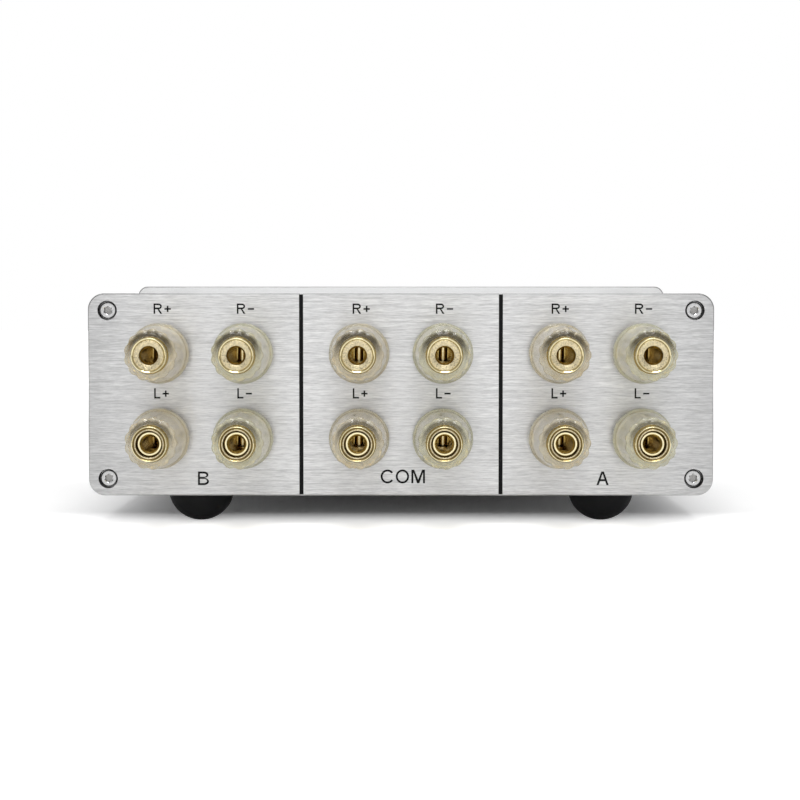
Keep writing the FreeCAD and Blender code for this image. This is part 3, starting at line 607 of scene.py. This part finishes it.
def markFrostAndPaintedReflection(mesh, centre, row):
    # Frost lies on the walls and the nose. A painted dark reflection on the nose, standing in for a
    # dark room above mirrored there, follows the height above the axis, clip(turn + sharp * sine),
    # and is strongest beside the ring.
    spots = np.empty(len(mesh.vertices) * 3)
    mesh.vertices.foreach_get("co", spots)
    spots = spots.reshape(-1, 3)
    across, up = (spots[:, 0] - centre.x) / mm, (spots[:, 2] - centre.z) / mm
    radius, height = np.hypot(across, up), (rearFace - spots[:, 1]) / mm
    onNose = (height > cap["shoulder"] - capFrostAndPaintedReflection["noseFrom"]) & (radius > capFrostAndPaintedReflection["from"])
    frost = np.where(radius > capFrostAndPaintedReflection["wall"], capFrostAndPaintedReflection["wallFrost"], 0.0)
    frost = np.where(onNose, capFrostAndPaintedReflection["noseFrost"], frost)
    over = capFrostAndPaintedReflection["full"] + (capFrostAndPaintedReflection["over"] - capFrostAndPaintedReflection["full"]) * capFrostAndPaintedReflection["reach"][row]
    over = over - capFrostAndPaintedReflection["lobes"] * fluteWave(np.arctan2(up, -across))
    near = np.clip((over - radius) / (over - capFrostAndPaintedReflection["from"]) * capFrostAndPaintedReflection["steep"], 0, 1)
    above = np.clip(capFrostAndPaintedReflection["turn"] + capFrostAndPaintedReflection["sharp"] * up / radius, 0, 1)
    paintedDarkReflection = capFrostAndPaintedReflection["strong"][row] * onNose * near * above
    for layer, values in (("frost", frost), ("paintedDarkReflection", paintedDarkReflection)):
        attribute = mesh.attributes.new(layer, "FLOAT", "POINT")
        attribute.data.foreach_set("value", values.astype(np.float32))


# Gold inserts: a knurled sleeve inside the cap and the ring at its end
ring = {
    "finishes": ["gold", "gold_grain", "gold_shade"],
    "low": 3.6, "headLow": 24.3, "top": 27.0,          # mm off the plate
    "bore": 3.05, "sleeve": 4.0, "head": 4.65, "lip": 4.9, "lipLow": 24.05, "lipRound": 0.05,
    "outerBead": 4.45, "headBevel": 0.25, "groove": 4.05, "beadDip": 0.34, "innerBead": 3.8,
    "innerDrop": 0.05, "floorDish": 0.1,
    "segments": 144, "knurls": 36, "knurlDeep": 0.12, "knurlPitch": 1.2,
    "knurlRows": 66, "rowsFrom": 0.4, "knurlFrom": 0.5,     # mm left plain at the sleeve's two ends
    "faceDeep": 0.6, "lipHigh": 0.2, "wallSlack": 0.05,     # where its finishes change, in mm
}
# line is half the width of the painted shade in each ring's groove, in mm
mouths = {                                             # the hole in the ring, by row of posts
    "r": {"radius": 2.5, "floor": 25.7, "drop": 0.45, "line": 0.07},
    "l": {"radius": 3.5, "floor": 22.5, "drop": 0.12, "line": 0.22},
}


def ringShape(angle, radius, height):
    # Diamond knurls on the sleeve: the radius dips by
    # deep (1 + cos(n a) cos(2 pi height / pitch)) / 2.
    wave = np.cos(angle * ring["knurls"]) * np.cos(2 * np.pi * height / ring["knurlPitch"])
    low, high = ring["low"] + ring["knurlFrom"], ring["headLow"] - ring["knurlFrom"]
    onSleeve = (height > low) & (height < high) & (radius > ring["sleeve"] - hair)
    return radius - np.where(onSleeve, ring["knurlDeep"] * (0.5 + 0.5 * wave), 0.0)


def ringOutline(mouth):
    low, high = ring["low"] + ring["rowsFrom"], ring["headLow"] - ring["rowsFrom"]
    top, lip = ring["top"], ring["lipRound"]
    return roundedLoop([
        (ring["bore"], ring["low"], 0),
        (ring["sleeve"], ring["low"], 0.1),
        *[(ring["sleeve"], height, 0) for height in np.linspace(low, high, ring["knurlRows"])],
        (ring["sleeve"], ring["lipLow"], 0),
        (ring["lip"], ring["lipLow"], lip),
        (ring["lip"], ring["headLow"], lip),
        (ring["head"], ring["headLow"] + lip, 0),
        (ring["head"], top - ring["headBevel"], 0.16),
        (ring["outerBead"], top, 0.14),
        (ring["groove"], top - ring["beadDip"], 0.1),
        (ring["innerBead"], top - ring["innerDrop"], 0.12),
        (mouth["radius"], top - mouth["drop"], 0.1),
        (mouth["radius"], mouth["floor"], 0),
        (ring["bore"], mouth["floor"] - ring["floorDish"], 0),
    ])


def ringFinishes(mesh, centre, mouth):
    # The blasted face inside the groove takes the second finish. The lip under the head, the wall
    # of the mouth and the groove take the third, a painted shade.
    radius, height = faceSpots(mesh, centre)
    slack, edge = ring["wallSlack"], ring["top"] - mouth["drop"]
    onFace = height > ring["top"] - ring["faceDeep"]
    onLip = (radius > ring["head"] - 2 * hair) & (height < ring["headLow"] + ring["lipHigh"])
    onWall = (radius < mouth["radius"] + slack) & (height < edge - slack)
    inGroove = onFace & (np.abs(radius - ring["groove"]) < mouth["line"])
    blasted = onFace & (radius < ring["groove"])
    setFinishes(mesh, np.where(onLip | onWall | inGroove, 2, blasted))


for post in postNames:
    centre = postSpots[post]
    row = post.split("_")[1]
    tint = "clear_plus" if post.endswith("plus") else "clear_minus"
    capMesh = turnedMesh("clearCap", capOutline(), cap["segments"], centre, rearFace, -1, capShape)
    markFrostAndPaintedReflection(capMesh, centre, row)
    showPiece(f"clearCap_{post}", smoothEdges(capMesh), tint, f"cap_{post}", [f"cap_{post}"])
    outline = ringOutline(mouths[row])
    ringMesh = turnedMesh("goldRing", outline, ring["segments"], centre, rearFace, -1, ringShape)
    smoothEdges(ringMesh, degrees=50)
    insert = f"insert_{post}"
    showPiece(f"goldRing_{post}", ringMesh, ring["finishes"], insert, [insert])
    ringFinishes(ringMesh, centre, mouths[row])

# Clear bases: a cup with a spigot that reaches through the plate
base = {
    "inner": 3.15, "well": 4.6, "outer": 8.0, "spigot": 4.15,      # radii in mm
    "lift": 0.03, "floor": 2.0, "top": 3.3, "end": -4.9,           # mm off the plate
    "round": 0.35, "segments": 128,
}
baseOutline = roundedLoop([
    (base["inner"], base["end"], 0.1),
    (base["spigot"], base["end"], 0.1),
    (base["spigot"], base["lift"], 0),
    (base["outer"], base["lift"], 0.1),
    (base["outer"], base["top"], base["round"]),
    (base["well"], base["top"], 0.15),
    (base["well"], base["floor"], 0),
    (base["inner"], base["floor"], 0.1),
])
bases = [
    turnedMesh("base", baseOutline, base["segments"], postSpots[post], rearFace, -1)
    for post in postNames
]
basesMesh = smoothEdges(joinMeshes("clearBases", bases))
showPiece("clearBases", basesMesh, "clear_plastic", "case", ["base_insulators"])
print("posts dressed")


# Socket screws, whose sockets are hexagons sunk in turned heads
screw = {
    "finishes": ["screw_steel", "screw_face", "painted_socket_shade", "painted_recess_shade"],
    "head": 2.25, "shank": 1.25,                       # radii in mm
    "low": -14.8, "seat": -3.8, "high": -1.3,          # mm off the plate
    "bevel": 0.25, "point": 0.2, "segments": 96,
    "hexAcross": 2.0, "hexDeep": 1.3, "hexCorner": 1.155, "lead": 0.15, "dish": 0.05,
    "under": 0.3,                                      # mm below the socket that may follow it
    "faceDeep": 0.06, "socket": 1.2, "side": 0.05, "sideLow": 0.1,       # where its finishes change
}


def screwShape(angle, radius, height):
    # Inside the socket the radius follows a hexagon: apothem / cos(a) between its corners.
    turn = math.pi / 3
    lean = (angle + turn / 2) % turn - turn / 2
    apothem = screw["hexAcross"] / 2
    low = screw["high"] - screw["hexDeep"] - screw["under"]
    inSocket = (height > low) & (radius > hair) & (radius < apothem + hair)
    return np.where(inSocket, radius / apothem * (apothem / np.cos(lean)), radius)


def screwOutline():
    high, apothem = screw["high"], screw["hexAcross"] / 2
    return roundedLoop([
        (0.0, screw["low"], 0),
        (screw["shank"] - screw["point"], screw["low"], 0),
        (screw["shank"], screw["low"] + screw["point"], 0),
        (screw["shank"], screw["seat"], 0),
        (screw["head"], screw["seat"], 0.1),
        (screw["head"], high - screw["bevel"], 0.12),
        (screw["head"] - screw["bevel"], high, 0.12),
        (apothem * screw["hexCorner"] + screw["lead"], high, 0.05),
        (apothem, high - screw["lead"], 0),
        (apothem, high - screw["hexDeep"], 0),
        (0.0, high - screw["hexDeep"] - screw["dish"], 0),
    ])


def screwSet(name, node, face, outward):
    # The flat of each head takes the second finish. Its socket's floor takes the third, a painted
    # shade, and the socket's wall and the side of the head the fourth, a deeper painted shade.
    outline = screwOutline()
    meshes = []
    for right, up in ((-1, -1), (-1, 1), (1, -1), (1, 1)):
        spot = Vector((right * plate["screwAcross"] * mm, 0, middleUp + up * plate["screwUp"] * mm))
        turned = turnedMesh("screw", outline, screw["segments"], spot, face, outward, screwShape)
        meshes.append(turned)
    mesh = smoothEdges(mergedMesh(joinMeshes("screws", meshes)), degrees=30)
    showPiece(name, mesh, screw["finishes"], "case", [node])
    middles = faceVectors(mesh, "center")
    radius, depth = fromScrews(middles), screw["high"] - (middles[:, 1] - face) / mm * outward
    flat = (depth < screw["faceDeep"]) & (radius < screw["head"] - screw["bevel"] + 2 * hair)
    inside = (radius < screw["socket"]) & (depth > screw["lead"])
    # painted shade on the socket's floor
    bottom = inside & (depth > screw["hexDeep"])
    edge = (radius > screw["head"] - screw["side"]) & (depth > screw["bevel"] + screw["sideLow"])
    # deeper painted shade on the socket's wall and the head's side
    dark = (inside & ~bottom) | edge
    setFinishes(mesh, np.where(dark, 3, np.where(bottom, 2, flat)))


screwSet("rearScrews", "rear_screws", rearFace, -1)
screwSet("frontScrews", "front_screws", frontFace, 1)


# Feet: half balls with a small flat
foot = {"radius": 9.15, "rows": 28, "segments": 96, "flat": 0.15, "smooth": 40}


def footMesh(node):
    # The section is a quarter circle (radius cos t, -radius sin t), cut off at the flat.
    low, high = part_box(node)
    centre = Vector(((low.x + high.x) / 2, (low.y + high.y) / 2, high.z))
    reach = math.asin(1 - foot["flat"] / foot["radius"])
    tilt = np.linspace(0, reach, foot["rows"])
    radius = np.concatenate([[0], foot["radius"] * np.cos(tilt), [0]])
    drop = np.concatenate([[0], foot["radius"] * np.sin(tilt), [foot["radius"] - foot["flat"]]])
    angle = np.linspace(0, 2 * np.pi, foot["segments"], endpoint=False)[None, :]
    grid = np.stack(np.broadcast_arrays(
        centre.x + radius[:, None] * np.cos(angle) * mm,
        centre.y - radius[:, None] * np.sin(angle) * mm,
        centre.z - drop[:, None] * mm,
    ), axis=-1)
    return smoothEdges(mergedMesh(gridMesh("foot", grid, wrapAlong=False)), foot["smooth"])


for name in ("foot_rear_left", "foot_rear_right", "foot_front_left", "foot_front_right"):
    pieceName = name.replace("foot_", "rubberFoot_")
    showPiece(pieceName, footMesh(name), "foot_rubber", "case", [name])
print("screws and feet dressed")

softCopy("dial_knob", "dialKnob", "dial")


# Prints

def bow(start, right, high, low, steps=15):
    # Half an ellipse: x = start + (right - start) cos t and y = middle + half the height sin t,
    # with t from a quarter turn up to a quarter turn down.
    turn = np.linspace(np.pi / 2, -np.pi / 2, steps)
    across = start + (right - start) * np.cos(turn)
    return list(zip(across, (high + low) / 2 + (high - low) / 2 * np.sin(turn)))


def roundStroke(wide, bold, opening, steps=49, over=0.515):
    # The outer and inner edge of a round letter, open to the right by this many degrees each way.
    # It reaches a little over and under the straight letters.
    turn = np.radians(np.linspace(opening, 360 - opening, steps))
    outer = zip(wide / 2 + wide / 2 * np.cos(turn), 0.5 + over * np.sin(turn))
    inner = zip(wide / 2 + (wide / 2 - bold) * np.cos(turn), 0.5 + (over - bold) * np.sin(turn))
    return list(outer), list(inner)


def letterShape(letter, bold):
    # the width and the outlines of a letter one unit high, with strokes this wide
    if letter == "L":
        return 0.6, [[(0, 0), (0.6, 0), (0.6, bold), (bold, bold), (bold, 1), (0, 1)]]
    if letter in "+−":
        arm, middle, half = 0.305, 0.475, bold / 2
        left, right, low, high = arm - half, arm + half, middle - half, middle + half
        if letter == "−":
            return 2 * arm, [[(0, low), (2 * arm, low), (2 * arm, high), (0, high)]]
        return 2 * arm, [[
            (0, low), (left, low), (left, middle - arm),
            (right, middle - arm), (right, low), (2 * arm, low),
            (2 * arm, high), (right, high), (right, middle + arm),
            (left, middle + arm), (left, high), (0, high),
        ]]
    if letter == "A":
        wide, leg, top, bar = 0.9, bold * 1.12, 0.85, 0.29
        inward, point = (wide / 2 - leg) / top, leg * 0.58
        under, over = leg + inward * bar, leg + inward * (bar + bold)
        outer = [
            (0, 0), (wide / 2 - point, 1), (wide / 2 + point, 1), (wide, 0), (wide - leg, 0),
            (wide - under, bar), (under, bar), (leg, 0),
        ]
        return wide, [outer, [(over, bar + bold), (wide - over, bar + bold), (wide / 2, top)]]
    if letter == "M":
        wide, slant, point = 1.0, bold * 1.42, bold * 0.56
        return wide, [[
            (0, 0), (0, 1), (slant, 1), (wide / 2, 0.27), (wide - slant, 1), (wide, 1), (wide, 0),
            (wide - bold, 0), (wide - bold, 0.8), (wide / 2 + point, 0), (wide / 2 - point, 0),
            (bold, 0.8), (bold, 0),
        ]]
    if letter == "O":
        outer, inner = roundStroke(0.98, bold, 0)
        return 0.98, [outer[:-1], inner[:-1]]
    if letter == "C":
        outer, inner = roundStroke(1.0, bold, 36)
        return 0.94, [outer + inner[::-1]]
    if letter == "B":
        waist, half = 0.53, bold / 2
        outer = [(0, 0), (0, 1)] + bow(0.42, 0.77, 1, waist) + bow(0.44, 0.81, waist, 0)
        upper = bow(0.42, 0.77 - bold, 1 - bold, waist + half)
        lower = bow(0.44, 0.81 - bold, waist - half, bold)
        upper += [(bold, waist + half), (bold, 1 - bold)]
        lower += [(bold, bold), (bold, waist - half)]
        return 0.81, [outer, upper, lower]
    waist, leg = 0.45, bold * 1.25                     # the rest is R
    outer = [(0, 0), (0, 1)] + bow(0.48, 0.80, 1, waist)
    outer += [(0.55, waist - 0.02), (0.84, 0), (0.84 - leg, 0), (0.38, waist), (bold, waist), (bold, 0)]
    hole = bow(0.48, 0.80 - bold, 1 - bold, waist + bold)
    return 0.84, [outer, hole + [(bold, waist + bold), (bold, 1 - bold)]]


def letterMesh(text, height, across, up, face, outward, bold=0.13, gap=0.22, thick=0.03):
    # a word as a thin closed mesh on a plate: outward is -1 on the rear plate, +1 on the front
    curve = bpy.data.curves.new(text, "CURVE")
    curve.dimensions = "2D"
    curve.fill_mode = "BOTH"
    curve.extrude = thick * mm / 2
    place = 0.0
    for letter in text:
        wide, outlines = letterShape(letter, bold)
        for outline in outlines:
            flat = np.zeros((len(outline), 4))
            flat[:, :2] = (np.array(outline) + (place, 0)) * height * mm
            spline = curve.splines.new("POLY")
            spline.points.add(len(outline) - 1)
            spline.points.foreach_set("co", flat.ravel())
            spline.use_cyclic_u = True
        place += wide + gap
    holder = bpy.data.objects.new("letters", curve)
    scene.collection.objects.link(holder)
    bpy.context.view_layer.update()
    mesh = bpy.data.meshes.new_from_object(holder)
    bpy.data.objects.remove(holder)
    turn = Matrix.Rotation(math.radians(90), 4, "X")
    if outward > 0:
        turn = Matrix.Rotation(math.radians(180), 4, "Z") @ turn
    middle = Matrix.Translation((-(place - gap) / 2 * height * mm, -height * mm / 2, 0))
    spot = Matrix.Translation((across * mm, face + outward * thick * mm / 2, middleUp + up * mm))
    mesh.transform(spot @ turn @ middle)
    return mesh


def barMesh(wide, high, across, up, face, outward, low=0.0, top=0.03, turn=0.0):
    # a flat bar between two levels off a plate
    corners = np.array([(-1, -1), (1, -1), (1, 1), (-1, 1)], float) * (wide / 2, high / 2)
    spin = np.array([[math.cos(turn), -math.sin(turn)], [math.sin(turn), math.cos(turn)]])
    flat = corners @ spin.T + (across, up)
    levels = (face + outward * low * mm, face + outward * top * mm)
    points = [(x * mm, y, middleUp + z * mm) for y in levels for x, z in flat]
    faces = [(0, 1, 2, 3), (7, 6, 5, 4)] + [(i, i + 4, (i + 1) % 4 + 4, (i + 1) % 4) for i in range(4)]
    if outward < 0:
        faces = [tuple(reversed(corner)) for corner in faces]
    mesh = bpy.data.meshes.new("bar")
    mesh.from_pydata(points, [], faces)
    return mesh


marks = {
    "small": 2.8, "bold": 0.155,                       # heights in mm, strokes and gaps as shares
    "large": 3.7, "largeBold": 0.145, "largeGap": 0.17,
    "shift": {"r": 0.5, "l": 0.2},                     # how far the small marks stand right of a post
    "row": {"r": 23.35, "l": 0.35},
    "groups": {"b": (-53.8, -22.8), "com": (0.5, -22.3), "a": (54.9, -22.8)},
    "dividers": (-27.12, 27.12), "dividerWide": 1.08, "dividerHigh": 54.4,
    "dividerDeep": 0.33, "dividerProud": 0.01,
}

words = []
for post in postNames:
    group, side, sign = post.split("_")
    text = side.upper() + ("+" if sign == "plus" else "−")
    across = postSpots[post].x / mm + marks["shift"][side]
    words.append(letterMesh(
        text, marks["small"], across, marks["row"][side], rearFace, -1, bold=marks["bold"],
    ))
for group, (across, up) in marks["groups"].items():
    words.append(letterMesh(
        group.upper(), marks["large"], across, up, rearFace, -1, marks["largeBold"], marks["largeGap"],
    ))
showPiece("rearMarks", mergedMesh(joinMeshes("rearMarks", words)), "print", "case")
dividers = [
    barMesh(
        marks["dividerWide"], marks["dividerHigh"], across, 0, rearFace, -1,
        low=-marks["dividerDeep"], top=marks["dividerProud"],
    )
    for across in marks["dividers"]
]
showPiece("rearDividers", joinMeshes("rearDividers", dividers), "print", "case")

dialMarks = {
    "angle": 30, "tickFrom": 19.0, "tickTo": 22.0, "tickWide": 0.5, "letter": 26.0, "high": 3.2,
}
frontWords = []
for text, side in (("A", 1), ("B", -1)):                  # A stands at +X, which is left from the front
    lean = math.radians(dialMarks["angle"]) * side
    middle = (dialMarks["tickFrom"] + dialMarks["tickTo"]) / 2
    frontWords.append(barMesh(
        dialMarks["tickWide"], dialMarks["tickTo"] - dialMarks["tickFrom"],
        middle * math.sin(lean), middle * math.cos(lean), frontFace, 1, turn=-lean,
    ))
    away = dialMarks["letter"]
    frontWords.append(letterMesh(
        text, dialMarks["high"], away * math.sin(lean), away * math.cos(lean), frontFace, 1,
    ))
showPiece("dialMarks", mergedMesh(joinMeshes("dialMarks", frontWords)), "print", "case")
print("marks printed")


# Studio
studio = {
    "sky": 1.0, "sides": 0.85, "ground": 0.6,          # brightness overhead, level and below
    "skyFull": 0.7, "groundFull": -0.3,                # how far up and down those are reached
    "dim": 0.8, "dimFrom": 0.998, "dimTo": 0.975,      # all but a patch straight behind the camera
    "wings": 0.3, "wingReach": (0.35, 0.85), "skyReach": (0.8, 0.97),
    "floorReach": 4.0, "floorSteps": 9, "paper": 0.83, "paperSeen": 1.0, "paperRough": 0.9,
    "paintedFrontLight": 0.46, "paintedFrontReach": (-0.057, -0.033),      # painted light: the table glows in front of the case, lifting the shadow under it
    "farReach": (0.4, 1.0),                            # and runs into the white of the backdrop
    "key": ((0, -0.7, 1.2), (0, 0, 0.03), 0.6, 7.0),   # lamps: place, target, size and power
    "front": ((0, -1.5, 0.35), (0, 0, 0), 0.8, 9.0),
    "bounces": 40, "glossyBounces": 24,                # light crosses many faces inside the clear caps
}


def areaLight(name, place, target, size, power):
    data = bpy.data.lights.new(name, "AREA")
    data.shape = "SQUARE"
    data.size = size
    data.energy = power
    lamp = bpy.data.objects.new(name, data)
    lamp.location = place
    lamp.rotation_euler = (Vector(target) - Vector(place)).to_track_quat("-Z", "Y").to_euler()
    scene.collection.objects.link(lamp)
    return lamp


def makeFloor():
    # a wide pale table top: x and y run over a square, z is 0
    run = np.linspace(-studio["floorReach"], studio["floorReach"], studio["floorSteps"])
    grid = np.stack(np.broadcast_arrays(run[None, :], run[:, None], 0.0), axis=-1)
    mesh = gridMesh("floor", grid, wrapAcross=False, wrapAlong=False)
    floor = bpy.data.objects.new("floor", mesh)
    scene.collection.objects.link(floor)
    material, tree, shader = newMaterial("floorPaper")
    seen = tree.nodes.new("ShaderNodeLightPath").outputs["Is Camera Ray"]
    pale = spread(tree, seen, studio["paper"], studio["paperSeen"], 0.0, 1.0)
    tree.links.new(greyOf(tree, pale), shader.inputs["Base Color"])
    shader.inputs["Roughness"].default_value = studio["paperRough"]
    shader.inputs["Specular IOR Level"].default_value = 0.0
    shader.inputs["Emission Color"].default_value = (1, 1, 1, 1)
    place, axes = axesOf(tree, "Object")
    # painted light on the table in front of the case
    near = spread(tree, axes["Y"], studio["paintedFrontLight"], 0.0, *studio["paintedFrontReach"])
    length = tree.nodes.new("ShaderNodeVectorMath")
    length.operation = "LENGTH"
    tree.links.new(place, length.inputs[0])
    far = spread(tree, length.outputs["Value"], 0.0, 1.0, *studio["farReach"])
    paintedLightAndFarWhite = combine(tree, "MULTIPLY", seen, combine(tree, "MAXIMUM", near, far))
    tree.links.new(paintedLightAndFarWhite, shader.inputs["Emission Strength"])
    mesh.materials.append(material)


def makeWorld():
    # White for the camera. For reflections it is paler overhead than near the ground, palest
    # straight before and behind the case, and darker at its sides.
    world = bpy.data.worlds.new("studio")
    world.use_nodes = True
    tree = world.node_tree
    background = tree.nodes["Background"]
    background.inputs["Color"].default_value = (1, 1, 1, 1)
    axes = axesOf(tree, "Generated")[1]
    upper = spread(tree, axes["Z"], studio["sides"], studio["sky"], 0.0, studio["skyFull"])
    level = studio["ground"] / studio["sides"]
    lower = spread(tree, axes["Z"], level, 1.0, studio["groundFull"], 0.0)
    patch = spread(tree, axes["Y"], 1.0, studio["dim"], -studio["dimFrom"], -studio["dimTo"])
    plain = combine(tree, "MULTIPLY", upper, combine(tree, "MULTIPLY", lower, patch))
    facing = combine(tree, "ABSOLUTE", axes["Y"])
    ends = spread(tree, facing, studio["wings"], 1.0, *studio["wingReach"])
    rays = tree.nodes.new("ShaderNodeLightPath").outputs
    above = spread(tree, axes["Z"], 0.0, 1.0, *studio["skyReach"])
    opaque = combine(tree, "MULTIPLY", above, rays["Is Glossy Ray"])
    mirrored = combine(tree, "MULTIPLY", plain, combine(tree, "MAXIMUM", ends, opaque))
    through = combine(tree, "MAXIMUM", rays["Is Glossy Ray"], rays["Is Transmission Ray"])
    sharp = mixed(tree, through, plain, mirrored)
    strength = mixed(tree, rays["Is Camera Ray"], sharp, 1.0)
    tree.links.new(strength, background.inputs["Strength"])
    scene.world = world


view = {
    "lens": 91.8, "sensor": 36.0, "distance": 554.0, "across": 0.0, "up": 60.0,      # mm
    "pitch": 2.682, "yaw": 0.028,                      # degrees
    "near": 0.01, "far": 50.0,                         # metres
}


def makeCamera():
    data = bpy.data.cameras.new("camera")
    data.lens = view["lens"]
    data.sensor_width = view["sensor"]
    data.clip_start = view["near"]
    data.clip_end = view["far"]
    camera = bpy.data.objects.new("camera", data)
    camera.location = (view["across"] * mm, rearFace - view["distance"] * mm, view["up"] * mm)
    camera.rotation_euler = (math.radians(90 - view["pitch"]), 0, math.radians(view["yaw"]))
    scene.collection.objects.link(camera)
    scene.camera = camera


makeFloor()
makeWorld()
areaLight("keyLight", *studio["key"])
frontLight = areaLight("frontLight", *studio["front"])
frontLight.visible_glossy = False                      # it opens the shadow under the case, no more
frontLight.visible_transmission = False
makeCamera()
scene.view_settings.view_transform = "Standard"
scene.cycles.max_bounces = studio["bounces"]
scene.cycles.transmission_bounces = studio["bounces"]
scene.cycles.glossy_bounces = studio["glossyBounces"]
print("studio set")
